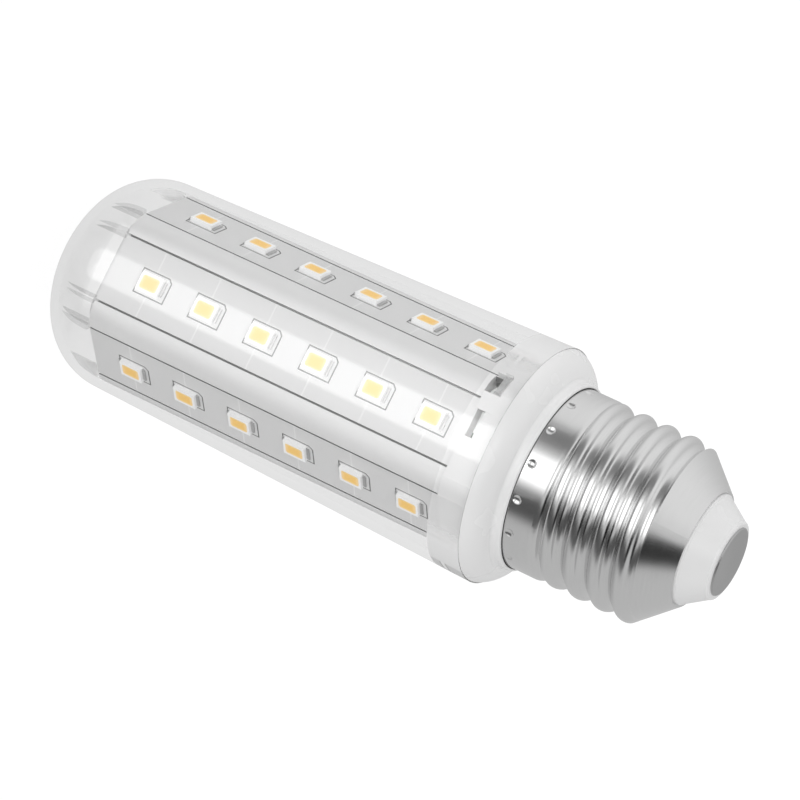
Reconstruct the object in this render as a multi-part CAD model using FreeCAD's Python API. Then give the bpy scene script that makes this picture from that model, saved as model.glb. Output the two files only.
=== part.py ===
"""Corn LED bulb with a clear cover and an E27 screw cap, standing on its head, in millimetres."""
import FreeCAD, Part
import math
import os

V = FreeCAD.Vector
AXIS = V(0, 0, 1)
ORIGIN = V(0, 0, 0)
SIDES = 6

# Clear cover: a tapered tube, closed at the head (z = 0) and open at the rim.
COVER_LENGTH = 73.7
COVER_RIM_R = 17.45
COVER_TAPER = 0.024
COVER_WALL = 1.2
HEAD_CORNER_R = 10.0
RIB_T = 0.8
RIB_REACH = 0.2
RIB_CLEARANCE = 0.1

# Hexagonal core that carries the boards, and the boards let into its flats.
HEAD_GAP = 10.5
CORE_CLEARANCE = 0.125
CORE_WALL = 1.2
CORE_END_T = 1.5
VOID_CORNER_R = 2.0
BOARD_T = 1.0
BOARD_W = 9.9
BOARD_GAP = 0.3
END_BOARD_T = 1.2
END_BOARD_INSET = 1.7
END_BOARD_CORNER_R = 3.0

# Light-emitting packages in a row on each board.
LED_COUNT = 6
LED_START = 6.8
LED_END = 5.35
LED_LENGTH = 3.5
LED_WIDTH = 2.8
LED_HEIGHT = 0.7
PHOSPHOR_LENGTH = 2.8
PHOSPHOR_WIDTH = 2.0
PHOSPHOR_T = 0.45
PHOSPHOR_CORNER_R = 0.4
TERMINAL_LENGTH = 0.45
TERMINAL_WIDTH = 2.2
TERMINAL_T = 0.2

# Collar: flange flush with the cover, a sleeve inside it and a neck inside the screw shell.
SLEEVE_DEPTH = 5.0
SLEEVE_WALL = 1.0
FLOOR_BELOW = 1.5
FLOOR_ABOVE = 1.5
FLANGE_SETBACK = 0.15
SHOULDER_A = 6.0
SHOULDER_B = 4.5
SHOULDER_DROP = 1.0
RING_WALL = 0.6
RING_FOOT = 0.55
RING_HEIGHT = 4.3
RING_EDGE_R = 0.4
RING_GAP = 0.15
NECK_WALL = 1.85
NECK_CHAMFER = 0.3
FLOOR_LEDGE = 1.0

# Latches that hold the cover: a window in the sleeve with a shallow seat beside it.
LATCH_ANGLES = (-30, 90, 210)
WINDOW_W = 3.6
WINDOW_H = 1.3
WINDOW_BELOW = 0.4
SEAT_H = 1.2
SEAT_DEPTH = 0.3
TOOTH_GAP = 0.1

# Lead slot through the sleeve, board 1 and the core, with a shallow seat beside it.
SLOT_W = 4.0
SLOT_H = 1.4
SLOT_OFFSET = -1.6
SLOT_SEAT_W = 1.7

# Screw cap with the E27 knuckle thread; heights are from the cover's rim.
CREST_R = 13.225
PITCH = 3.629
THREAD_DEPTH = 1.095
ROOT_FLAT = 0.02
SKIRT_STEP = 0.025
SKIRT_WALL = 0.4
SKIRT_SEAT = 2.0
SKIRT_TOP = 8.2
SHELL_WALL = 0.55
CREST_ANGLE = -87.0
CREST_HEIGHT = 16.5
CAP_TOP = 27.5
CAP_TOP_R = 8.46
CONE_SLOPE = 0.91
SHELL_LIP = 0.4
DIMPLES = 16
DIMPLE_RISE = 0.95
DIMPLE_BALL_R = 1.0
DIMPLE_DEPTH = 0.25

# Cap insulator and end contact.
INSULATOR_DEPTH = 2.9
INSULATOR_HEIGHT = 3.9
INSULATOR_BEAD = 0.3
CONTACT_R = 4.95
CONTACT_SEAT = 0.3
CONTACT_PROUD = 0.25
CONTACT_CHAMFER = 0.15
CONTACT_RIM = 0.4
RIVET_R = 1.6
RIVET_DEPTH = 3.4

# Driver inside the core.
DRIVER_T = 1.2
DRIVER_START = 15.5
DRIVER_END = 0.7
RAIL = 1.0
LEAD_R = 0.6
LEAD_HOLE_GAP = 0.2
LED_LEAD_X = 3.0
LED_LEAD_Y = 3.0
CAP_LEAD_X = 4.0
LEAD_LAP = 5.0
CAPACITOR_R = 4.0
CAPACITOR_LENGTH = 12.0
COIL_R = 3.0
COIL_LENGTH = 5.0
RESISTOR_R = 1.5
RESISTOR_LENGTH = 8.0
BODY_SEAT = 0.1
LINE_CAPACITOR = (6.0, 5.0, 7.0)
RECTIFIER = (5.0, 2.0, 4.0)
CHIP = (5.0, 1.5, 4.0)

# Heights and radii that follow from the sizes above.
RIM = COVER_LENGTH
SLANT = math.hypot(1, COVER_TAPER)
COVER_FOOT_R = COVER_RIM_R - COVER_TAPER * COVER_LENGTH
HEAD_FLAT_R = COVER_FOOT_R + HEAD_CORNER_R * (COVER_TAPER - SLANT)
CORE_BOTTOM = HEAD_GAP
CORE_TOP = RIM - FLOOR_BELOW
SLEEVE_BOTTOM = RIM - SLEEVE_DEPTH


def cover_inner_r(z):
    """Radius of the cover's inner wall at height z above its inner head."""
    bend = HEAD_CORNER_R - COVER_WALL
    if z < HEAD_CORNER_R - bend * COVER_TAPER / SLANT:
        return HEAD_FLAT_R + math.sqrt(bend ** 2 - (HEAD_CORNER_R - z) ** 2)
    return COVER_FOOT_R + COVER_TAPER * z - COVER_WALL * SLANT


POCKET_W = BOARD_W + 2 * BOARD_GAP
CORE_RIDGE_R = cover_inner_r(CORE_BOTTOM) - CORE_CLEARANCE
# The corner's rounding runs from one board pocket to the next.
CORE_CORNER_R = CORE_RIDGE_R - POCKET_W
CORE_APOTHEM = CORE_RIDGE_R * math.cos(math.pi / 6) + CORE_CORNER_R * (1 - math.cos(math.pi / 6))
VOID_APOTHEM = CORE_APOTHEM - BOARD_T - CORE_WALL
RIB_ANGLE = math.degrees(math.atan2(POCKET_W / 2, CORE_APOTHEM))
SLEEVE_R = CORE_RIDGE_R + SLEEVE_WALL
SLEEVE_APOTHEM = CORE_APOTHEM + SLEEVE_WALL
SEAT_R = SLEEVE_R - SEAT_DEPTH
WINDOW_TOP = SLEEVE_BOTTOM + WINDOW_H
SEAT_TOP = WINDOW_TOP + SEAT_H
SLOT_TOP = SLEEVE_BOTTOM + SLOT_H
SLOT_Y = (SLOT_OFFSET - SLOT_W / 2, SLOT_OFFSET + SLOT_W / 2)
FLANGE_R = COVER_RIM_R - FLANGE_SETBACK
SKIRT_R = CREST_R + SKIRT_STEP
SKIRT_INNER_R = SKIRT_R - SKIRT_WALL
SKIRT_BOTTOM = RIM + SKIRT_SEAT
SKIRT_END = RIM + SKIRT_TOP
RING_R = SKIRT_R + RING_WALL
RING_TOP = RIM + RING_HEIGHT
NECK_BORE_R = SKIRT_INNER_R - NECK_WALL
FLOOR_OPENING_R = NECK_BORE_R - FLOOR_LEDGE
FLOOR_TOP = RIM + FLOOR_ABOVE
# Crest and root arcs of one radius meet tangent to each other.
KNUCKLE_R = (PITCH ** 2 / 4 + THREAD_DEPTH ** 2) / (4 * THREAD_DEPTH)
ROOT_R = CREST_R - THREAD_DEPTH + ROOT_FLAT
SHELL_BORE_R = ROOT_R - SHELL_WALL
CREST_Z = RIM + CREST_HEIGHT
CONE_TOP = RIM + CAP_TOP
INSULATOR_BOTTOM = CONE_TOP - INSULATOR_DEPTH
INSULATOR_TOP = CONE_TOP + INSULATOR_HEIGHT
CONTACT_BOTTOM = INSULATOR_TOP - CONTACT_SEAT
CONTACT_TOP = INSULATOR_TOP + CONTACT_PROUD
RIVET_BOTTOM = INSULATOR_TOP - RIVET_DEPTH
DRIVER_BOTTOM = CORE_BOTTOM + DRIVER_START
DRIVER_TOP = SLEEVE_BOTTOM - DRIVER_END


def line(a, b):
    """Edge between two (r, z) points of a profile."""
    return Part.makeLine(V(a[0], 0, a[1]), V(b[0], 0, b[1]))


def lines(points):
    """Edges along a run of (r, z) points."""
    return [line(a, b) for a, b in zip(points, points[1:])]


def arc(a, b, c):
    """Arc through three (r, z) points of a profile."""
    return Part.Arc(V(a[0], 0, a[1]), V(b[0], 0, b[1]), V(c[0], 0, c[1])).toShape()


def rounded(a, b, bulge):
    """Arc from a to b that stands off their chord, to its right, by a share of its length."""
    middle = ((a[0] + b[0]) / 2 + bulge * (b[1] - a[1]), (a[1] + b[1]) / 2 - bulge * (b[0] - a[0]))
    return arc(a, middle, b)


def revolved(edges):
    """Solid of revolution of a closed profile about the bulb's axis."""
    return Part.Face(Part.Wire(edges)).revolve(ORIGIN, AXIS, 360)


def cylinder(r, z0, z1):
    """Round bar about the bulb's axis."""
    return Part.makeCylinder(r, z1 - z0, V(0, 0, z0))


def hexagon(apothem, corner_r, z0, z1):
    """Hexagonal bar with one flat facing +X and its corners rounded."""
    corner = apothem / math.cos(math.pi / 6)
    angles = [math.radians(30 + 60 * k) for k in range(SIDES + 1)]
    points = [V(corner * math.cos(t), corner * math.sin(t), z0) for t in angles]
    bar = Part.Face(Part.makePolygon(points)).extrude(V(0, 0, z1 - z0))
    if corner_r:
        upright = [e for e in bar.Edges if abs(e.tangentAt(e.FirstParameter).z) > 0.9]
        bar = bar.makeFillet(corner_r, upright)
    return bar


def box(x, y, z):
    """Block between (low, high) pairs along each axis."""
    return Part.makeBox(x[1] - x[0], y[1] - y[0], z[1] - z[0], V(x[0], y[0], z[0]))


def spun(shape, angle):
    """Copy of a shape turned about the bulb's axis."""
    copy = shape.copy()
    copy.rotate(ORIGIN, AXIS, angle)
    return copy


def around(shape):
    """Copies of a shape at the six flats."""
    return [spun(shape, 360 * k / SIDES) for k in range(SIDES)]


def at_latches(shape):
    """Copies of a shape at the three latches."""
    return [spun(shape, angle) for angle in LATCH_ANGLES]


def centred(width, middle=0):
    """Low and high bounds of a width about a middle."""
    return (middle - width / 2, middle + width / 2)


def cover_envelope(inset):
    """Solid inside the cover's outer surface, moved in by the given amount."""
    bend = HEAD_CORNER_R - inset

    def on_bend(nr, nz):
        return (HEAD_FLAT_R + bend * nr, HEAD_CORNER_R + bend * nz)

    low = on_bend(0, -1)
    middle = on_bend(math.sqrt(0.5), -math.sqrt(0.5))
    side = on_bend(1 / SLANT, -COVER_TAPER / SLANT)
    rim = (COVER_RIM_R - inset * SLANT, RIM)
    edges = [line((0, inset), low), arc(low, middle, side)]
    return revolved(edges + lines([side, rim, (0, RIM), (0, inset)]))


def clear_cover():
    """Cover with a guide rib at each board edge in its head corner and three latch teeth near the rim."""
    outer = cover_envelope(0)
    rib_z = (COVER_WALL, CORE_BOTTOM - RIB_CLEARANCE)
    rib = box((CORE_APOTHEM - RIB_REACH, COVER_RIM_R), centred(RIB_T), rib_z)
    tooth = box((SEAT_R, COVER_RIM_R), centred(WINDOW_W - 2 * TOOTH_GAP), (WINDOW_TOP, SEAT_TOP))
    extras = around(spun(rib, RIB_ANGLE)) + around(spun(rib, -RIB_ANGLE)) + at_latches(tooth)
    shell = outer.cut(cover_envelope(COVER_WALL))
    return shell.fuse([e.common(outer) for e in extras]).removeSplitter()


def core_outline(z0, z1):
    """Outer form shared by the core and the socket that holds it."""
    return hexagon(CORE_APOTHEM, CORE_CORNER_R, z0, z1)


def lead_slot():
    """Slot for the leads through the wall beside board 1."""
    return box((VOID_APOTHEM - CORE_WALL, SLEEVE_R), SLOT_Y, (SLEEVE_BOTTOM, SLOT_TOP))


def core():
    """Hollow core, closed at the head, with a pocket for each board and rails for the driver."""
    body = core_outline(CORE_BOTTOM, CORE_TOP)
    pocket = box((CORE_APOTHEM - BOARD_T, CORE_RIDGE_R), centred(POCKET_W), (CORE_BOTTOM, CORE_TOP))
    window = box((VOID_APOTHEM, SLEEVE_R), centred(WINDOW_W), (SLEEVE_BOTTOM - WINDOW_BELOW, CORE_TOP))
    holes = [Part.makeCylinder(LEAD_R + LEAD_HOLE_GAP, CORE_END_T, V(x, LED_LEAD_Y, CORE_BOTTOM))
             for x in (-LED_LEAD_X, LED_LEAD_X)]
    void = hexagon(VOID_APOTHEM, VOID_CORNER_R, CORE_BOTTOM + CORE_END_T, CORE_TOP)
    body = body.cut([void, lead_slot()] + around(pocket) + at_latches(window) + holes)
    rails = []
    rail_x = (VOID_APOTHEM - RAIL, VOID_APOTHEM + CORE_WALL / 2)
    for low in (DRIVER_T / 2, -DRIVER_T / 2 - RAIL):
        rail = box(rail_x, (low, low + RAIL), (DRIVER_BOTTOM, DRIVER_TOP))
        rails += [rail, spun(rail, 180)]
    return body.fuse(rails).removeSplitter()


def led_board():
    """Board let into the +X flat of the core."""
    return box((CORE_APOTHEM - BOARD_T, CORE_APOTHEM), centred(BOARD_W), (CORE_BOTTOM, CORE_TOP))


def led_rows():
    """Housings, phosphor windows and terminals of the packages on the +X flat."""
    housings = []
    phosphors = []
    terminals = []
    top = CORE_APOTHEM + LED_HEIGHT
    first = CORE_BOTTOM + LED_START
    pitch = (SLEEVE_BOTTOM - LED_END - first) / (LED_COUNT - 1)
    for i in range(LED_COUNT):
        middle = first + pitch * i
        length = centred(LED_LENGTH, middle)
        housing = box((CORE_APOTHEM, top), centred(LED_WIDTH), length)
        window = box((top - PHOSPHOR_T, top), centred(PHOSPHOR_WIDTH), centred(PHOSPHOR_LENGTH, middle))
        corners = [e for e in window.Edges if abs(e.tangentAt(e.FirstParameter).x) > 0.9]
        window = window.makeFillet(PHOSPHOR_CORNER_R, corners)
        housings.append(housing.cut(window))
        phosphors.append(window)
        for low in (length[0] - TERMINAL_LENGTH, length[1]):
            terminals.append(box((CORE_APOTHEM, CORE_APOTHEM + TERMINAL_T), centred(TERMINAL_WIDTH),
                                 (low, low + TERMINAL_LENGTH)))
    return [Part.makeCompound(group) for group in (housings, phosphors, terminals)]


def collar_flange():
    """Turned part of the collar: floor, flange, rounded shoulder, ring around the skirt and inner neck."""
    centre_r = FLANGE_R - SHOULDER_A * math.sqrt(1 - (SHOULDER_DROP / SHOULDER_B) ** 2)
    centre_z = RIM - SHOULDER_DROP

    def on_shoulder(r):
        return (r, centre_z + SHOULDER_B * math.sqrt(1 - ((r - centre_r) / SHOULDER_A) ** 2))

    steps = 8
    end_r = RING_R + RING_FOOT
    radii = [FLANGE_R + (end_r - FLANGE_R) * i / steps for i in range(steps + 1)]
    curve = Part.BSplineCurve()
    curve.interpolate([V(r, 0, z) for r, z in map(on_shoulder, radii)])
    start = on_shoulder(FLANGE_R)
    end = on_shoulder(end_r)
    foot = (RING_R, end[1] + RING_FOOT)
    edge = (RING_R, RING_TOP - RING_EDGE_R)
    lip = (RING_R - RING_EDGE_R, RING_TOP)
    inside = [(SKIRT_R + RING_GAP, RING_TOP - RING_GAP / 2), (SKIRT_R, RING_TOP - 2 * RING_GAP),
              (SKIRT_R, SKIRT_BOTTOM), (SKIRT_INNER_R, SKIRT_BOTTOM),
              (SKIRT_INNER_R, SKIRT_END - NECK_CHAMFER), (SKIRT_INNER_R - NECK_CHAMFER, SKIRT_END),
              (NECK_BORE_R, SKIRT_END), (NECK_BORE_R, FLOOR_TOP), (FLOOR_OPENING_R, FLOOR_TOP),
              (FLOOR_OPENING_R, RIM), (FLANGE_R, RIM)]
    quarter = (math.sqrt(2) - 1) / 2
    edges = [curve.toShape(), rounded(end, foot, -quarter), line(foot, edge), rounded(edge, lip, quarter),
             line(lip, inside[0])]
    if start[1] - RIM > 1e-6:
        inside.append(start)
    return revolved(edges + lines(inside))


def collar():
    """White collar: turned flange and neck with the sleeve around the core."""
    flange = collar_flange()
    sleeve = hexagon(SLEEVE_APOTHEM, 0, SLEEVE_BOTTOM, RIM).common(cylinder(SLEEVE_R, SLEEVE_BOTTOM, RIM))
    socket = core_outline(SLEEVE_BOTTOM, CORE_TOP)
    opening = cylinder(FLOOR_OPENING_R, CORE_TOP, RIM)
    slot_seat = box((SLEEVE_APOTHEM - SEAT_DEPTH, SLEEVE_R), (SLOT_Y[0], SLOT_Y[0] + SLOT_SEAT_W),
                    (SLOT_TOP, SLOT_TOP + SEAT_H))
    window = box((VOID_APOTHEM, COVER_RIM_R), centred(WINDOW_W), (SLEEVE_BOTTOM, WINDOW_TOP))
    seat = box((SEAT_R, COVER_RIM_R), centred(WINDOW_W), (WINDOW_TOP, SEAT_TOP))
    sleeve = sleeve.cut([socket, opening, lead_slot(), slot_seat] + at_latches(window) + at_latches(seat))
    return flange.fuse(sleeve).removeSplitter()


def cone_z(r):
    """Height at which the cap's cone has radius r."""
    return CONE_TOP - (r - CAP_TOP_R) / CONE_SLOPE


def shell_inside():
    """Profile points of the shell's inner surface, from the skirt's edge to the tip."""
    drop = SKIRT_WALL / math.cos(math.atan(1 / CONE_SLOPE))
    step = SKIRT_END + NECK_CHAMFER
    lip_r = CAP_TOP_R - SHELL_LIP
    return [(SKIRT_INNER_R, SKIRT_BOTTOM), (SKIRT_INNER_R, step),
            (SHELL_BORE_R, step + SKIRT_INNER_R - SHELL_BORE_R),
            (SHELL_BORE_R, cone_z(SHELL_BORE_R) - drop), (lip_r, cone_z(lip_r) - drop)]


def thread_ridge():
    """Helical ridge of the knuckle thread, right-handed, trimmed to the shell's wall."""
    root_centre = CREST_R - THREAD_DEPTH + KNUCKLE_R
    flank = ((CREST_R + root_centre - KNUCKLE_R) / 2, PITCH / 4)

    def on_root(z):
        return (root_centre - math.sqrt(KNUCKLE_R ** 2 - (PITCH / 2 - z) ** 2), z)

    def mirrored(point):
        return (point[0], -point[1])

    sink = ROOT_FLAT / 4
    half = PITCH / 2 - math.sqrt(KNUCKLE_R ** 2 - (KNUCKLE_R - sink) ** 2)
    foot = on_root(half)
    between = on_root((half + flank[1]) / 2)
    base = ((ROOT_R + SHELL_BORE_R) / 2, half)
    edges = [arc(mirrored(foot), mirrored(between), mirrored(flank)),
             arc(mirrored(flank), (CREST_R, 0), flank), arc(flank, between, foot)]
    edges += lines([foot, base, mirrored(base), mirrored(foot)])
    turns_below = 3
    turns = turns_below + math.ceil((CONE_TOP - CREST_Z) / PITCH)
    helix = Part.makeHelix(PITCH, turns * PITCH, CREST_R)
    ridge = Part.Wire(helix).makePipeShell([Part.Wire(edges)], True, True)
    ridge.translate(V(0, 0, CREST_Z - turns_below * PITCH))
    ridge.rotate(ORIGIN, AXIS, CREST_ANGLE)
    inside = shell_inside()
    limit = inside + [(CAP_TOP_R, CONE_TOP), (SKIRT_R, cone_z(SKIRT_R)), (SKIRT_R, SKIRT_BOTTOM), inside[0]]
    return ridge.common(revolved(lines(limit)))


def screw_shell():
    """Sheet-metal screw shell: skirt with stake dimples, knuckle thread and cone."""
    depth = SKIRT_R - ROOT_R
    top = (SKIRT_R, SKIRT_END)
    bend = (SKIRT_R - depth / 2, SKIRT_END + 0.9 * depth)
    root = (ROOT_R, SKIRT_END + 1.8 * depth)
    inside = shell_inside()
    edges = lines(inside + [(CAP_TOP_R, CONE_TOP), (ROOT_R, cone_z(ROOT_R)), root])
    edges += [rounded(root, bend, 0.12), rounded(bend, top, -0.12)]
    edges += lines([top, (SKIRT_R, SKIRT_BOTTOM), inside[0]])
    shell = revolved(edges).fuse(thread_ridge())
    ball = Part.makeSphere(DIMPLE_BALL_R, V(SKIRT_R + DIMPLE_BALL_R - DIMPLE_DEPTH, 0, RING_TOP + DIMPLE_RISE))
    return shell.cut([spun(ball, 360 * k / DIMPLES) for k in range(DIMPLES)])


def cap_insulator():
    """White insulator seated in the shell's cone, with a rounded shoulder and a seat for the contact."""
    bore_end, tip = shell_inside()[-2:]
    slope = (tip[0] - bore_end[0]) / (tip[1] - bore_end[1])
    low = (tip[0] + slope * (INSULATOR_BOTTOM - tip[1]), INSULATOR_BOTTOM)
    lip = (tip[0], CONE_TOP)
    shoulder = (tip[0] - 0.6 * INSULATOR_BEAD, CONE_TOP + INSULATOR_BEAD)
    top = (CONTACT_R + CONTACT_RIM, INSULATOR_TOP)
    edge = (top[0] + CONTACT_RIM, INSULATOR_TOP - CONTACT_RIM)
    straight = [top, (CONTACT_R, INSULATOR_TOP), (CONTACT_R, CONTACT_BOTTOM), (RIVET_R, CONTACT_BOTTOM),
                (RIVET_R, INSULATOR_BOTTOM), low, tip, lip]
    edges = lines(straight) + [rounded(lip, shoulder, 0.2), line(shoulder, edge), rounded(edge, top, 0.2)]
    return revolved(edges)


def end_contact():
    """Disc at the tip with a rivet through the insulator."""
    return revolved(lines([(0, RIVET_BOTTOM), (RIVET_R, RIVET_BOTTOM), (RIVET_R, CONTACT_BOTTOM),
                           (CONTACT_R, CONTACT_BOTTOM), (CONTACT_R, CONTACT_TOP - CONTACT_CHAMFER),
                           (CONTACT_R - CONTACT_CHAMFER, CONTACT_TOP), (0, CONTACT_TOP), (0, RIVET_BOTTOM)]))


def lead(points):
    """Round lead along straight runs with ball-shaped bends."""
    points = [V(*p) for p in points]
    runs = [Part.makeCylinder(LEAD_R, a.distanceToPoint(b), a, b - a) for a, b in zip(points, points[1:])]
    bends = [Part.makeSphere(LEAD_R, p) for p in points[1:-1]]
    return runs[0].fuse(runs[1:] + bends).removeSplitter()


def leads():
    """Leads from the driver board to the cap and to the end board."""
    face = DRIVER_T / 2 + LEAD_R
    lap = DRIVER_TOP - LEAD_LAP
    bend_r = NECK_BORE_R - 3 * LEAD_R
    neck_z = SKIRT_END + PITCH
    live = [(CAP_LEAD_X, face, lap), (CAP_LEAD_X, face, RIM), (0, 0, CREST_Z), (0, 0, RIVET_BOTTOM)]
    neutral = [(-CAP_LEAD_X, face, lap), (-CAP_LEAD_X, face, RIM), (-bend_r, 0, neck_z),
               (-SKIRT_R, 0, neck_z)]
    bore = cylinder(SHELL_BORE_R, CORE_BOTTOM, CONE_TOP)
    found = {"live_lead": lead(live), "neutral_lead": lead(neutral).common(bore)}
    low = (CORE_BOTTOM + CORE_END_T + DRIVER_BOTTOM) / 2
    for name, side in (("led_lead_positive", 1), ("led_lead_negative", -1)):
        x = side * LED_LEAD_X
        y = side * face
        found[name] = lead([(x, y, DRIVER_BOTTOM + LEAD_LAP), (x, y, DRIVER_BOTTOM - LEAD_LAP / 2),
                            (x, LED_LEAD_Y, low - LEAD_LAP / 2), (x, LED_LEAD_Y, CORE_BOTTOM)])
    return found


def driver_parts():
    """Driver board and the plain bodies of the parts it carries."""
    half = DRIVER_T / 2

    def on_back(size, x, rise):
        z = DRIVER_BOTTOM + rise
        return box((x, x + size[0]), (-half - size[1], -half), (z, z + size[2]))

    board = box(centred(2 * VOID_APOTHEM), (-half, half), (DRIVER_BOTTOM, DRIVER_TOP))

    def lying(r, length, x, side, z):
        middle = V(x, side * (half + r - BODY_SEAT), z)
        return Part.makeCylinder(r, length, middle).cut(board)

    front_z = DRIVER_BOTTOM + LEAD_LAP + LEAD_R
    upper_z = front_z + CAPACITOR_LENGTH + LEAD_R
    back_rise = 4 * LEAD_LAP
    back_z = DRIVER_BOTTOM + back_rise
    coil_foot = V(COIL_R + LEAD_R, half, upper_z + COIL_R)
    width, depth, height = LINE_CAPACITOR
    return {
        "driver_board": board,
        "smoothing_capacitor": lying(CAPACITOR_R, CAPACITOR_LENGTH, 0, 1, front_z),
        "line_capacitor": box((-width - LEAD_R, -LEAD_R), (half, half + depth), (upper_z, upper_z + height)),
        "inductor": Part.makeCylinder(COIL_R, COIL_LENGTH, coil_foot, V(0, 1, 0)),
        "driver_chip": on_back(CHIP, -CHIP[0] / 2, 2 * LEAD_LAP),
        "bridge_rectifier": on_back(RECTIFIER, -RECTIFIER[0] - LEAD_R, back_rise),
        "fuse_resistor": lying(RESISTOR_R, RESISTOR_LENGTH, RESISTOR_R + LEAD_R, -1, back_z),
    }


def all_parts():
    """Every piece of the bulb by node name."""
    end_apothem = CORE_APOTHEM - END_BOARD_INSET
    parts = {
        "clear_cover": clear_cover(),
        "collar": collar(),
        "screw_shell": screw_shell(),
        "cap_insulator": cap_insulator(),
        "end_contact": end_contact(),
        "core": core(),
        "end_board": hexagon(end_apothem, END_BOARD_CORNER_R, CORE_BOTTOM - END_BOARD_T, CORE_BOTTOM),
    }
    boards = around(led_board())
    boards[0] = boards[0].cut(lead_slot())
    rows = [around(group) for group in led_rows()]
    for k in range(SIDES):
        parts[f"led_board_{k + 1}"] = boards[k]
        for name, group in zip(("housings", "phosphors", "terminals"), rows):
            parts[f"led_{name}_{k + 1}"] = group[k]
    parts.update(driver_parts())
    parts.update(leads())
    return parts


os.makedirs("parts", exist_ok=True)
for node, shape in all_parts().items():
    shape.exportStep(f"parts/{node}.step")
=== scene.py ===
"""Look of the LED corn bulb: materials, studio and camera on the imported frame, in metres."""
import math
import bpy
from mathutils import Matrix, Vector

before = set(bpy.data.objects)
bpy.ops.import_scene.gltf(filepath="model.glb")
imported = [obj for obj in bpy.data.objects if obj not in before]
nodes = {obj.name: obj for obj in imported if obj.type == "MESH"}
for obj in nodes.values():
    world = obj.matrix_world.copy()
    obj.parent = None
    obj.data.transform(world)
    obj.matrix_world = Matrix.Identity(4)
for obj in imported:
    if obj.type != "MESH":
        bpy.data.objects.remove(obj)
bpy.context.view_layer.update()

MM = 0.001
IMAGE_PX = 800
SIDES = 6

# Camera, fitted to the photograph: focal length in pixels, position, and the axes of the view.
FOCAL_PX = 3253.4
SENSOR = 36.0
CLIP_START = 0.01
CAMERA_AT = Vector((417.31, 19.53, 219.57)) * MM
VIEW_RIGHT = Vector((-0.31431, -0.44077, 0.84079))
VIEW_BACK = Vector((0.92770, 0.04536, 0.37057))

# Layout of the solids (mm).
COVER_MIDDLE = 40.0
CORE_APOTHEM = 13.2
POCKET_DEPTH_R = 12.1
SLEEVE_BOTTOM = 68.7
RIM = 73.7
RING_TOP = 78.0
LATCH_ANGLES = (-30, 90, 210)
LATCH_HALF_WIDTH = 1.8
LATCH_TOP = 70.0
TOOTH_TOP = 71.2
LED_FIRST_Z = 17.3
LED_PITCH = 9.21
LED_COUNT = 6
WINDOW_LENGTH = 2.8
WINDOW_WIDTH = 2.0

# Pads printed round each package (mm): outline, its line, and the line of the gap in the copper.
PAD_HALF_LENGTH = 2.45
PAD_HALF_WIDTH = 1.8
PAD_SHIFT = 0.3
PAD_CLIP = 0.55
PAD_LINE = 0.09
PAD_LINE_SOFT = 0.03
GAP_LINE = 0.1
GAP_LINE_SOFT = 0.04
ROW_SOFT = 0.01

# Soft width of a step between two tones (mm).
STEP = 0.1

# How a face's normal and place tell the surfaces of one solid apart.
FACES_OUT = 0.25
FACES_UP = 0.9
UPRIGHT = 0.1
RIDGE_OUT = 0.3
RIDGE_MARGIN = 0.1
RIM_MARGIN = 0.05

# Noise: repeats in a metre of the clouds and grains, range of a cloud's values, and the bumps'
# heights (m) and strengths.
PLASTIC_CLOUD = 160.0
PLASTIC_GRAIN = 3500.0
FILM_CLOUD = 90.0
BOARD_CLOUD = 220.0
METAL_CLOUD = 150.0
RESIN_GRAIN = 9000.0
WEAVE = 12000.0
CLOUD_RANGE = (0.3, 0.7)
METAL_CLOUD_RANGE = (0.25, 0.75)
FINE_BUMP = 0.00001
PRINT_BUMP = 0.00002
GRAIN_STRENGTH = 0.2
PRINT_STRENGTH = 0.3

# Roughness: how far it spreads round a plastic's and a metal's own, and that of printed and
# painted faces.
PLASTIC_SPREAD = 0.1
METAL_SPREAD = 0.15
BOARD_ROUGHNESS = (0.3, 0.4)
SLEEVE_ROUGHNESS = 0.4
RESIN_ROUGHNESS = 0.32
LAMINATE_ROUGHNESS = 0.4

# Clear cover: uneven tint, clearer tint over the sleeve, mirrored share that its edges have above the
# plain share, and how far a face turns away before the painted sleeve shows out to the edge.
TINT_SPREAD = 0.005
RIM_TINT = 0.99
EDGE_MIRROR = 0.06
EDGE_POWER = 5.0
SLEEVE_TURN = (0.3, 0.5)

# Sleeve painted at the cover's edge, as the bending of light would show it: greys of its wall, of the
# painted shade in its windows and at the clear place at each latch, of the painted line round the tooth
# and of the tooth's painted highlight, with the half width of that place and the line round the tooth in
# it (mm).
SLEEVE_WHITE = 0.87
WINDOW_SHADE_GREY = 0.4
LATCH_SHADE_GREY = 0.66
TOOTH_LINE_GREY = 0.45
TOOTH_HIGHLIGHT_WHITE = 0.95
LATCH_SPREAD = 4.6
LATCH_SPREAD_SOFT = 0.4
TOOTH_LINE = 0.3

# Greys of a board: its mask, gap lines, pad lines and edges, whose dark grey is partly its bare edge and
# partly painted shade in the gap beside it, and how far a face turns to be an edge.
MASK_GREYS = (0.80, 0.83)
GAP_GREY = 0.93
PAD_LINE_GREY = 0.1
BOARD_EDGE_SHADE_GREY = 0.3
FLANK_TURN = (0.4, 0.6)

# Resin windows: deep colours of the middle, colour of the edge, where it starts, and the colour and
# strength of their painted glow, which stands for fluorescence.
RESIN_DEEP = ((0.95, 0.56, 0.09, 1), (0.99, 0.66, 0.15, 1))
RESIN_EDGE = (0.98, 0.74, 0.38, 1)
RESIN_EDGE_RANGE = (0.5, 1.05)
RESIN_GLOW_COLOUR = (1.0, 0.62, 0.3, 1)
RESIN_PAINTED_GLOW = 0.18

LAMINATE_GREENS = ((0.05, 0.14, 0.08, 1), (0.07, 0.19, 0.11, 1))
# Painted shade on the cap's shell, where it goes into the collar.
SEAM_SHADE_GREY = 0.08

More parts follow.
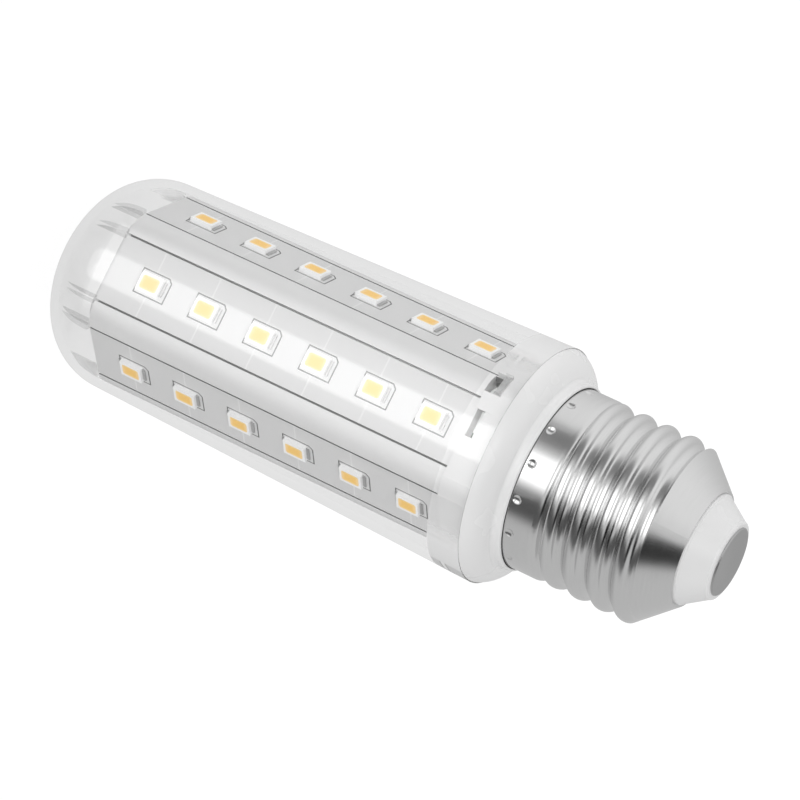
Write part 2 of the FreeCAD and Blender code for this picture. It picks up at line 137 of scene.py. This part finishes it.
# Light of the room on the object, and its walls as surfaces mirror them: their levels from one side
# to the other, and ramps of degrees and levels toward the floor and the back.
AMBIENT = 0.55
WALL = (-60.0, 60.0, 0.86, 0.56)
WALL_FOOT = (-80.0, -10.0, 0.45, 1.05)
WALL_BACK = (-180.0, -90.0, 0.6, 1.0)

# Cards and panels that surfaces mirror (degrees): azimuths, elevations and soft edge. Two of the
# cards lean with height. A card has the share of light it takes, a panel its level.
CARD_LEAN = 0.3
FIRST_CARD = (-60, -27, -80, 45, 11)
FIRST_SHARE = 0.72
SECOND_CARD = (29, 64, -80, 80, 8)
SECOND_SHARE = 0.84
THIRD_CARD = (2, 58, 42, 89, 5)
THIRD_SHARE = 1.0
VEIL = (-50, 50, -33, 20, 8)
VEIL_LEVEL = 2.2
SOFTBOX = (-14, 17, -44, 6, 9)
SOFTBOX_LEVEL = 1.5
OVERHEAD = (-16, 18, 30, 48, 6)
OVERHEAD_LEVEL = 1.6

# Strip that the cover mirrors (degrees): its bounds, corner radius, soft edge and fade to a lower level.
STRIP_AZIMUTHS = (-16.0, 18.0)
STRIP_ELEVATIONS = (-46.0, 20.0)
STRIP_ROUND = 8.0
STRIP_SOFT = 3.0
STRIP_FADE = (-40.0, -27.0)
STRIP_LEVEL = 3.1
STRIP_LOW_LEVEL = 1.395

# Lamps: name, azimuth and elevation (degrees), distance and size (m), power (W). They aim at one
# height (mm).
LAMPS = (
    ("key", 16, 24, 0.6, 0.5, 1.3),
    ("fill", -95, 0, 0.7, 0.6, 2.3),
    ("back", 185, 30, 0.7, 0.6, 1.6),
)
LAMP_AIM = 50.0

# Floor: half its side (m), its grey, and what the camera sees of it. It lies a little below the
# head (mm), so that their faces don't coincide.
FLOOR_HALF = 3.0
FLOOR_GREY = 0.8
FLOOR_SEEN_GREY = 0.14
FLOOR_GLOW = 0.89
FLOOR_ROUGHNESS = 0.9
FLOOR_GAP = 0.05


class Tree:
    """Small helper to write shader node trees."""

    def __init__(self, tree):
        self.tree = tree
        tree.nodes.clear()

    def node(self, kind, **settings):
        made = self.tree.nodes.new("ShaderNode" + kind)
        for name, value in settings.items():
            setattr(made, name, value)
        return made

    def set(self, socket, value):
        if isinstance(value, bpy.types.NodeSocket):
            self.tree.links.new(value, socket)
        else:
            socket.default_value = value

    def math(self, operation, *values):
        made = self.node("Math", operation=operation)
        for socket, value in zip(made.inputs, values):
            self.set(socket, value)
        return made.outputs[0]

    def times(self, first, second):
        return self.math("MULTIPLY", first, second)

    def in_mm(self, length):
        return self.math("DIVIDE", length, MM)

    def ramp(self, value, low, high, out_low=0.0, out_high=1.0):
        """Smooth step of a value from low to high."""
        made = self.node("MapRange", interpolation_type="SMOOTHSTEP")
        for name, given in (("Value", value), ("From Min", low), ("From Max", high),
                            ("To Min", out_low), ("To Max", out_high)):
            self.set(made.inputs[name], given)
        return made.outputs[0]

    def window(self, value, low, high, soft):
        """1 between low and high, 0 outside, with soft edges."""
        rise = self.ramp(value, low - soft, low + soft)
        fall = self.ramp(value, high - soft, high + soft, 1.0, 0.0)
        return self.times(rise, fall)

    def mix(self, share, first, second):
        made = self.node("Mix", data_type="RGBA")
        self.set(made.inputs[0], share)
        self.set(made.inputs[6], first)
        self.set(made.inputs[7], second)
        return made.outputs[2]

    def mix_shader(self, share, first, second):
        made = self.node("MixShader")
        self.set(made.inputs[0], share)
        self.set(made.inputs[1], first)
        self.set(made.inputs[2], second)
        return made.outputs[0]

    def place(self):
        return self.node("TexCoord").outputs["Object"]

    def parts(self, vector):
        made = self.node("SeparateXYZ")
        self.set(made.inputs[0], vector)
        return made.outputs

    def turned(self, vector, angle):
        """A vector's parts at an angle round the axis: outward, across and along the axis."""
        made = self.node("VectorRotate", rotation_type="Z_AXIS")
        self.set(made.inputs["Vector"], vector)
        self.set(made.inputs["Angle"], -angle)
        return self.parts(made.outputs[0])

    def noise(self, vector, scale, detail=2.0):
        made = self.node("TexNoise")
        self.set(made.inputs["Vector"], vector)
        self.set(made.inputs["Scale"], scale)
        self.set(made.inputs["Detail"], detail)
        return made.outputs["Fac"]

    def bump(self, height, strength, distance):
        made = self.node("Bump")
        self.set(made.inputs["Strength"], strength)
        self.set(made.inputs["Distance"], distance)
        self.set(made.inputs["Height"], height)
        return made.outputs["Normal"]

    def principled(self, **inputs):
        made = self.node("BsdfPrincipled")
        for name, value in inputs.items():
            self.set(made.inputs[name.replace("_", " ")], value)
        return made.outputs[0]

    def to_the_eye(self):
        """1 for rays from the camera, also through glass."""
        ray = self.node("LightPath")
        return self.math("MAXIMUM", ray.outputs["Is Camera Ray"], ray.outputs["Is Transmission Ray"])

    def output(self, shader, kind="Material"):
        made = self.node("Output" + kind)
        self.tree.links.new(shader, made.inputs["Surface"])


def grey(level):
    return (level, level, level, 1.0)


def darker(colour, share):
    return tuple(part * (1 - share) for part in colour[:3]) + (1.0,)


def numbered(stem):
    """Names of the nodes that the six sides have."""
    return [f"{stem}_{k + 1}" for k in range(SIDES)]


def material(name):
    """New node material and its tree."""
    made = bpy.data.materials.new(name)
    made.use_nodes = True
    return made, Tree(made.node_tree)


def plastic(name, colour, roughness, mottle=0.04, painted_glow=0.0, gloss=0.5):
    """Moulded plastic with faint mottling and a fine surface grain.

    A painted glow, light that the plastic gives off in its own colour, stands for the light that soaks
    through a thin or white wall.
    """
    made, tree = material(name)
    place = tree.place()
    cloud = tree.noise(place, PLASTIC_CLOUD)
    grain = tree.noise(place, PLASTIC_GRAIN, detail=3.0)
    tree.output(tree.principled(
        Base_Color=tree.mix(cloud, darker(colour, mottle), colour),
        Roughness=tree.ramp(cloud, *CLOUD_RANGE,
                            roughness * (1 - PLASTIC_SPREAD), roughness * (1 + PLASTIC_SPREAD)),
        # Painted glow: the plastic gives off light of its own colour.
        Emission_Color=colour, Emission_Strength=painted_glow, Specular_IOR_Level=gloss,
        Normal=tree.bump(grain, GRAIN_STRENGTH, FINE_BUMP)))
    return made


def painted_sleeve_view(tree, height):
    """Painted view of the sleeve: white, with painted shade in its windows and at each latch a shaded
    place with the cover's tooth, which has a painted highlight.
    """
    windows = 0.0
    places = 0.0
    for angle in LATCH_ANGLES:
        outward, sideways, _ = tree.turned(tree.place(), math.radians(angle))
        across = tree.in_mm(sideways)
        near = tree.ramp(outward, 0.0, MM)
        window = tree.times(tree.window(across, -LATCH_HALF_WIDTH, LATCH_HALF_WIDTH, STEP), near)
        place = tree.times(tree.window(across, -LATCH_SPREAD, LATCH_SPREAD, LATCH_SPREAD_SOFT), near)
        windows = tree.math("MAXIMUM", windows, window)
        places = tree.math("MAXIMUM", places, place)
    opening = tree.times(windows, tree.window(height, SLEEVE_BOTTOM, LATCH_TOP, STEP))
    tooth = tree.window(height, LATCH_TOP + TOOTH_LINE, TOOTH_TOP - TOOTH_LINE, STEP)
    outline = tree.window(height, LATCH_TOP, TOOTH_TOP, STEP)
    # Painted shade in the windows and at the latch places, and a painted highlight on the tooth.
    wall = tree.mix(opening, grey(SLEEVE_WHITE), grey(WINDOW_SHADE_GREY))
    edged = tree.mix(outline, grey(LATCH_SHADE_GREY), grey(TOOTH_LINE_GREY))
    return tree.mix(places, wall, tree.mix(tooth, edged, grey(TOOTH_HIGHLIGHT_WHITE)))


def film(name, tint, mirror, rim=False):
    """Clear plastic: passes light with a grey tint and mirrors its surroundings at its surface.

    It doesn't bend light, and lamps shine through it. At its open end the outer surface is clearer, and
    where it turns away from the eye it shows a painted view of the white sleeve inside it out to its
    edge, as the bending of light would, with painted shade and a painted highlight at each latch.
    """
    made, tree = material(name)
    cloud = tree.noise(tree.place(), FILM_CLOUD)
    tinted = tree.mix(cloud, grey(tint - TINT_SPREAD), grey(tint + TINT_SPREAD))
    clear = tree.node("BsdfTransparent")
    gloss = tree.principled(Base_Color=grey(1.0), Metallic=1.0, Roughness=0.0)
    seen = clear.outputs[0]
    share = mirror
    if rim:
        turned_away = tree.node("LayerWeight").outputs["Facing"]
        height = tree.in_mm(tree.parts(tree.place())[2])
        end = tree.ramp(height, SLEEVE_BOTTOM - STEP, SLEEVE_BOTTOM + STEP)
        tinted = tree.mix(end, tinted, grey(RIM_TINT))
        sleeve = tree.principled(Base_Color=painted_sleeve_view(tree, height), Roughness=SLEEVE_ROUGHNESS)
        seen = tree.mix_shader(tree.times(end, tree.ramp(turned_away, *SLEEVE_TURN)), seen, sleeve)
        rise = tree.math("POWER", turned_away, EDGE_POWER)
        share = tree.math("MULTIPLY_ADD", rise, EDGE_MIRROR, mirror)
    tree.set(clear.inputs["Color"], tinted)
    open_way = tree.node("BsdfTransparent")
    ray = tree.node("LightPath")
    lamp_light = tree.math("MAXIMUM", ray.outputs["Is Shadow Ray"], ray.outputs["Is Diffuse Ray"])
    tree.output(tree.mix_shader(lamp_light, tree.mix_shader(share, seen, gloss), open_way.outputs[0]))
    return made


def led_place(tree, index):
    """Place on a board (mm): across it, height over the first package, and along the nearest package."""
    _, sideways, upward = tree.turned(tree.place(), 2 * math.pi * index / SIDES)
    height = tree.math("SUBTRACT", tree.in_mm(upward), LED_FIRST_Z)
    along = tree.math("WRAP", height, LED_PITCH / 2, -LED_PITCH / 2)
    return tree.in_mm(sideways), height, along


def board(index):
    """White board with a dark line round each pad, a pale gap in the copper, and dark edges that are
    partly the bare edge and partly painted shade in the gap beside the board.
    """
    made, tree = material(f"board_{index + 1}")
    normal = tree.turned(tree.node("TexCoord").outputs["Normal"], 2 * math.pi * index / SIDES)
    across, height, along = led_place(tree, index)
    shifted = tree.math("SUBTRACT", along, PAD_SHIFT)
    side = tree.math("SUBTRACT", tree.math("ABSOLUTE", across), PAD_HALF_WIDTH)
    end = tree.math("SUBTRACT", tree.math("ABSOLUTE", shifted), PAD_HALF_LENGTH)
    slant = tree.math("SUBTRACT", shifted, across)
    clip = tree.math("SUBTRACT", slant, PAD_HALF_LENGTH + PAD_HALF_WIDTH - PAD_CLIP)
    corner = tree.times(clip, math.sqrt(0.5))
    outside = tree.math("MAXIMUM", tree.math("MAXIMUM", side, end), corner)
    rows = tree.window(height, -LED_PITCH / 2, (LED_COUNT - 0.5) * LED_PITCH, ROW_SOFT)
    line = tree.times(rows, tree.window(outside, -PAD_LINE, PAD_LINE, PAD_LINE_SOFT))
    bare = tree.window(along, -GAP_LINE, GAP_LINE, GAP_LINE_SOFT)
    gap = tree.times(bare, tree.ramp(outside, 0.0, STEP))
    # Side faces get a dark grey: partly the board's bare edge, partly painted shade in the gap beside it.
    shaded_flank = tree.ramp(tree.math("ABSOLUTE", normal[1]), *FLANK_TURN)
    cloud = tree.noise(tree.place(), BOARD_CLOUD)
    mask = tree.mix(cloud, *(grey(level) for level in MASK_GREYS))
    lined = tree.mix(line, tree.mix(gap, mask, grey(GAP_GREY)), grey(PAD_LINE_GREY))
    tree.output(tree.principled(
        Base_Color=tree.mix(shaded_flank, lined, grey(BOARD_EDGE_SHADE_GREY)),
        Roughness=tree.ramp(cloud, *CLOUD_RANGE, *BOARD_ROUGHNESS),
        Normal=tree.bump(tree.math("ADD", gap, line), PRINT_STRENGTH, PRINT_BUMP)))
    return made


def phosphor(index):
    """Phosphor resin with grains, paler at its edge, with a painted glow that stands for its fluorescence
    and makes it brighter than paint.
    """
    made, tree = material(f"phosphor_{index + 1}")
    across, _, along = led_place(tree, index)
    sideways = tree.math("DIVIDE", tree.math("ABSOLUTE", across), WINDOW_WIDTH / 2)
    lengthways = tree.math("DIVIDE", tree.math("ABSOLUTE", along), WINDOW_LENGTH / 2)
    edge = tree.ramp(tree.math("MAXIMUM", sideways, lengthways), *RESIN_EDGE_RANGE)
    grains = tree.noise(tree.place(), RESIN_GRAIN, detail=3.0)
    tree.output(tree.principled(
        Base_Color=tree.mix(edge, tree.mix(grains, *RESIN_DEEP), RESIN_EDGE),
        Roughness=RESIN_ROUGHNESS,
        # Painted glow, standing for the resin's fluorescence.
        Emission_Color=RESIN_GLOW_COLOUR, Emission_Strength=RESIN_PAINTED_GLOW,
        Normal=tree.bump(grains, PRINT_STRENGTH, PRINT_BUMP)))
    return made


def metal(name, colour, roughness, brushed, streaks, painted_shade_top=None):
    """Plated or brushed metal: streaks vary its tone and surface, and it has painted shade, dark up to a
    given height.

    The streaks are noise with its own number of repeats in a metre along each axis.
    """
    made, tree = material(name)
    point = tree.parts(tree.place())
    squeezed = tree.node("CombineXYZ")
    for part, socket, factor in zip(point, squeezed.inputs, streaks):
        tree.set(socket, tree.times(part, factor))
    streak = tree.noise(squeezed.outputs[0], 1.0, detail=4.0)
    cloud = tree.noise(tree.place(), METAL_CLOUD)
    tone = tree.mix(streak, darker(colour, brushed), colour)
    if painted_shade_top:
        # Painted shade below the given height.
        above_painted_shade = tree.ramp(tree.in_mm(point[2]), painted_shade_top - STEP / 2, painted_shade_top + STEP)
        tone = tree.mix(above_painted_shade, grey(SEAM_SHADE_GREY), tone)
    tree.output(tree.principled(
        Base_Color=tone, Metallic=1.0,
        Roughness=tree.ramp(cloud, *METAL_CLOUD_RANGE,
                            roughness * (1 - METAL_SPREAD), roughness * (1 + METAL_SPREAD)),
        Normal=tree.bump(streak, brushed, FINE_BUMP)))
    return made


def laminate():
    """Green laminate with a fine weave."""
    made, tree = material("laminate")
    point = tree.parts(tree.place())
    waves = [tree.math("SINE", tree.times(point[axis], WEAVE)) for axis in (0, 2)]
    weave = tree.times(*waves)
    colour = tree.mix(tree.ramp(weave, -1.0, 1.0), *LAMINATE_GREENS)
    tree.output(tree.principled(
        Base_Color=colour, Roughness=LAMINATE_ROUGHNESS,
        Normal=tree.bump(weave, GRAIN_STRENGTH, FINE_BUMP)))
    return made


def paint(node, *found):
    """Gives a node materials of its own, and returns its mesh."""
    mesh = nodes[node].data
    mesh.materials.clear()
    for one in found:
        mesh.materials.append(one)
    return mesh


def dress_cover():
    """Cover: an even tint in its outer surface; its inside, its ribs and its end have their own."""
    outer, inner, rib, end = range(4)
    mesh = paint(
        "clear_cover",
        film("clear_plastic", tint=0.885, mirror=0.055, rim=True),
        film("clear_inside", tint=0.994, mirror=0.004),
        film("clear_rib", tint=0.83, mirror=0.03),
        film("clear_end", tint=0.7, mirror=0.03))
    middle = Vector((0, 0, COVER_MIDDLE)) * MM
    for face in mesh.polygons:
        lean = face.normal.dot((face.center - middle).normalized())
        face.material_index = outer if lean > FACES_OUT else inner if lean < -FACES_OUT else rib
        if face.center.z > (RIM - RIM_MARGIN) * MM and face.normal.z > FACES_UP:
            face.material_index = end


def dress_core():
    """Core: white outside, with painted shade in the pockets behind the boards, and a painted glow
    inside.
    """
    white, shaded_pocket, inside = range(3)
    mesh = paint(
        "core",
        plastic("core_plastic", grey(0.89), 0.22),
        # Painted shade: dark grey on the walls of the pockets behind the boards.
        plastic("core_pocket_painted_shade", grey(0.3), 0.5),
        # Painted glow on the inside faces, standing for light through the thin wall.
        plastic("core_inside_painted_glow", grey(0.8), 0.5, painted_glow=0.45))
    for face in mesh.polygons:
        out = Vector((face.center.x, face.center.y, 0))
        far_out = out.length > (CORE_APOTHEM - RIDGE_MARGIN) * MM
        ridge = far_out and face.normal.dot(out.normalized()) > RIDGE_OUT
        face.material_index = white
        if abs(face.normal.z) < UPRIGHT:
            if out.length < POCKET_DEPTH_R * MM:
                face.material_index = inside
            elif not ridge:
                face.material_index = shaded_pocket


def dress_collar():
    """Collar: glossy white outside, and a thin pale sleeve inside the cover that gives off a faint
    painted glow.
    """
    outside, sleeve = range(2)
    mesh = paint(
        "collar",
        plastic("collar_plastic", grey(0.87), 0.26, mottle=0.01, gloss=0.6),
        # The sleeve gives off a faint painted glow.
        plastic("sleeve_plastic_painted_glow", grey(0.78), 0.4, painted_glow=0.06))
    for face in mesh.polygons:
        face.material_index = sleeve if face.center.z < RIM * MM else outside


def dress_leds():
    """LED packages and their boards: a resin window and a board know which side they are on."""
    # The packages' white plastic gives off a painted glow.
    housing = plastic("led_housing", grey(0.97), 0.3, mottle=0.02, painted_glow=0.14)
    terminal = metal("terminal", grey(0.6), roughness=0.4, brushed=0.1, streaks=(4000, 4000, 4000))
    for index in range(SIDES):
        paint(numbered("led_board")[index], board(index))
        paint(numbered("led_phosphors")[index], phosphor(index))
        paint(numbered("led_terminals")[index], terminal)
        paint(numbered("led_housings")[index], housing)


def dress_cap():
    """Cap: plated shell with painted shade where it enters the collar, white insulator and dull contact.
    """
    shell = metal("cap_metal", grey(0.78), roughness=0.21, brushed=0.08,
                  streaks=(300, 300, 9000), painted_shade_top=RING_TOP)
    paint("screw_shell", shell)
    paint("cap_insulator", plastic("insulator", grey(0.85), 0.25))
    contact = metal("contact_metal", grey(0.54), roughness=0.4, brushed=0.1, streaks=(900, 9000, 900))
    paint("end_contact", contact)


def dress_driver():
    """Boards, parts and leads inside."""
    dark = plastic("dark_plastic", grey(0.02), 0.45)
    red = plastic("lead_red", (0.5, 0.03, 0.03, 1), 0.4)
    black = plastic("lead_black", grey(0.02), 0.4)
    paint("driver_board", laminate())
    paint("end_board", plastic("end_board_mask", grey(0.82), 0.35))
    paint("smoothing_capacitor", plastic("capacitor_sleeve", (0.02, 0.03, 0.05, 1), 0.35))
    paint("line_capacitor", plastic("capacitor_case", (0.55, 0.32, 0.03, 1), 0.4))
    paint("fuse_resistor", plastic("resistor_coat", (0.25, 0.40, 0.48, 1), 0.4))
    for node in ("inductor", "bridge_rectifier", "driver_chip"):
        paint(node, dark)
    for node in ("live_lead", "led_lead_positive"):
        paint(node, red)
    for node in ("neutral_lead", "led_lead_negative"):
        paint(node, black)


def mirrored_room(tree):
    """Level of the room that surfaces mirror: walls with dark cards and lit panels.

    The clear cover, a crisp mirror, shows a strip in a wide veil. Rougher surfaces show a soft box there.
    """
    direction = tree.parts(tree.node("TexCoord").outputs["Generated"])
    azimuth = tree.math("DEGREES", tree.math("ARCTAN2", direction[1], direction[0]))
    elevation = tree.math("DEGREES", tree.math("ARCSINE", direction[2]))
    lean = tree.times(tree.math("MAXIMUM", elevation, 0.0), CARD_LEAN)
    leaning = tree.math("SUBTRACT", azimuth, lean)

    def panel(across, sizes):
        left, right, low, high, soft = sizes
        return tree.times(tree.window(across, left, right, soft), tree.window(elevation, low, high, soft))

    def card(across, sizes, share):
        return tree.math("SUBTRACT", 1.0, tree.times(panel(across, sizes), share))

    def beyond(value, bounds):
        """Square of how far a value lies past the strip's bounds, which its corner radius draws in."""
        low, high = bounds
        off = tree.math("ABSOLUTE", tree.math("SUBTRACT", value, (low + high) / 2))
        past = tree.math("MAXIMUM", tree.math("SUBTRACT", off, (high - low) / 2 - STRIP_ROUND), 0.0)
        return tree.math("POWER", past, 2.0)

    shade = tree.times(tree.ramp(elevation, *WALL_FOOT), tree.ramp(azimuth, *WALL_BACK))
    wall = tree.times(tree.ramp(azimuth, *WALL), shade)
    first = card(azimuth, FIRST_CARD, FIRST_SHARE)
    second = card(leaning, SECOND_CARD, SECOND_SHARE)
    third = card(leaning, THIRD_CARD, THIRD_SHARE)
    level = tree.times(tree.times(wall, first), tree.math("MINIMUM", second, third))
    past = tree.math("ADD", beyond(azimuth, STRIP_AZIMUTHS), beyond(elevation, STRIP_ELEVATIONS))
    edge = (STRIP_ROUND - STRIP_SOFT, STRIP_ROUND + STRIP_SOFT)
    inside = tree.ramp(tree.math("SQRT", past), *edge, 1.0, 0.0)
    strip = tree.times(inside, tree.ramp(elevation, *STRIP_FADE, STRIP_LOW_LEVEL, STRIP_LEVEL))
    sheet = tree.math("ADD", strip, tree.times(panel(azimuth, VEIL), VEIL_LEVEL))
    softbox = tree.times(panel(azimuth, SOFTBOX), SOFTBOX_LEVEL)
    overhead = tree.times(panel(azimuth, OVERHEAD), OVERHEAD_LEVEL)
    crisp = tree.node("LightPath").outputs["Is Singular Ray"]
    rough = tree.math("SUBTRACT", 1.0, crisp)
    boxes = tree.math("ADD", tree.times(sheet, crisp), tree.times(softbox, rough))
    return tree.math("ADD", level, tree.math("ADD", boxes, overhead))


def studio_world():
    """White to the eye, soft light on the object, and a room with panels in reflections."""
    world = bpy.data.worlds.new("studio")
    bpy.context.scene.world = world
    world.use_nodes = True
    tree = Tree(world.node_tree)
    room = tree.node("Background")
    tree.set(room.inputs["Strength"], mirrored_room(tree))
    soft = tree.node("Background")
    tree.set(soft.inputs["Strength"], AMBIENT)
    white = tree.node("Background")
    for shader in (room, soft, white):
        tree.set(shader.inputs["Color"], grey(1.0))
    glossy = tree.node("LightPath").outputs["Is Glossy Ray"]
    lit = tree.mix_shader(glossy, soft.outputs[0], room.outputs[0])
    tree.output(tree.mix_shader(tree.to_the_eye(), lit, white.outputs[0]), "World")


def lamp(name, azimuth, elevation, distance, size, power):
    """Square soft lamp aimed at the middle of the bulb."""
    az = math.radians(azimuth)
    el = math.radians(elevation)
    away = Vector((math.cos(el) * math.cos(az), math.cos(el) * math.sin(az), math.sin(el)))
    data = bpy.data.lights.new(name, "AREA")
    data.size = size
    data.energy = power
    made = bpy.data.objects.new(name, data)
    made.location = Vector((0, 0, LAMP_AIM)) * MM + away * distance
    made.rotation_euler = away.to_track_quat("Z", "Y").to_euler()
    made.visible_glossy = False
    bpy.context.scene.collection.objects.link(made)


def floor():
    """Pale floor under the head, white to the eye where nothing shades it."""
    level = -FLOOR_GAP * MM
    signs = ((-1, -1), (1, -1), (1, 1), (-1, 1))
    corners = [(x * FLOOR_HALF, y * FLOOR_HALF, level) for x, y in signs]
    mesh = bpy.data.meshes.new("floor")
    mesh.from_pydata(corners, [], [(0, 1, 2, 3)])
    made = bpy.data.objects.new("floor", mesh)
    bpy.context.scene.collection.objects.link(made)
    paper, tree = material("floor_paper")
    pale = tree.principled(Base_Color=grey(FLOOR_GREY), Roughness=FLOOR_ROUGHNESS)
    bright = tree.principled(Base_Color=grey(FLOOR_SEEN_GREY), Roughness=FLOOR_ROUGHNESS,
                             Emission_Color=grey(1.0), Emission_Strength=FLOOR_GLOW)
    tree.output(tree.mix_shader(tree.to_the_eye(), pale, bright))
    mesh.materials.append(paper)
    made.visible_glossy = False


def camera():
    """Camera at the photograph's place, with its roll."""
    data = bpy.data.cameras.new("camera")
    data.sensor_width = SENSOR
    data.lens = FOCAL_PX * SENSOR / IMAGE_PX
    data.clip_start = CLIP_START
    made = bpy.data.objects.new("camera", data)
    back = VIEW_BACK.normalized()
    up = back.cross(VIEW_RIGHT).normalized()
    right = up.cross(back)
    turn = Matrix((right, up, back)).transposed().to_4x4()
    made.matrix_world = Matrix.Translation(CAMERA_AT) @ turn
    bpy.context.scene.collection.objects.link(made)
    bpy.context.scene.camera = made


dress_cover()
dress_core()
dress_collar()
dress_leds()
dress_cap()
dress_driver()
studio_world()
for settings in LAMPS:
    lamp(*settings)
floor()
camera()
bpy.context.scene.view_settings.view_transform = "Standard"
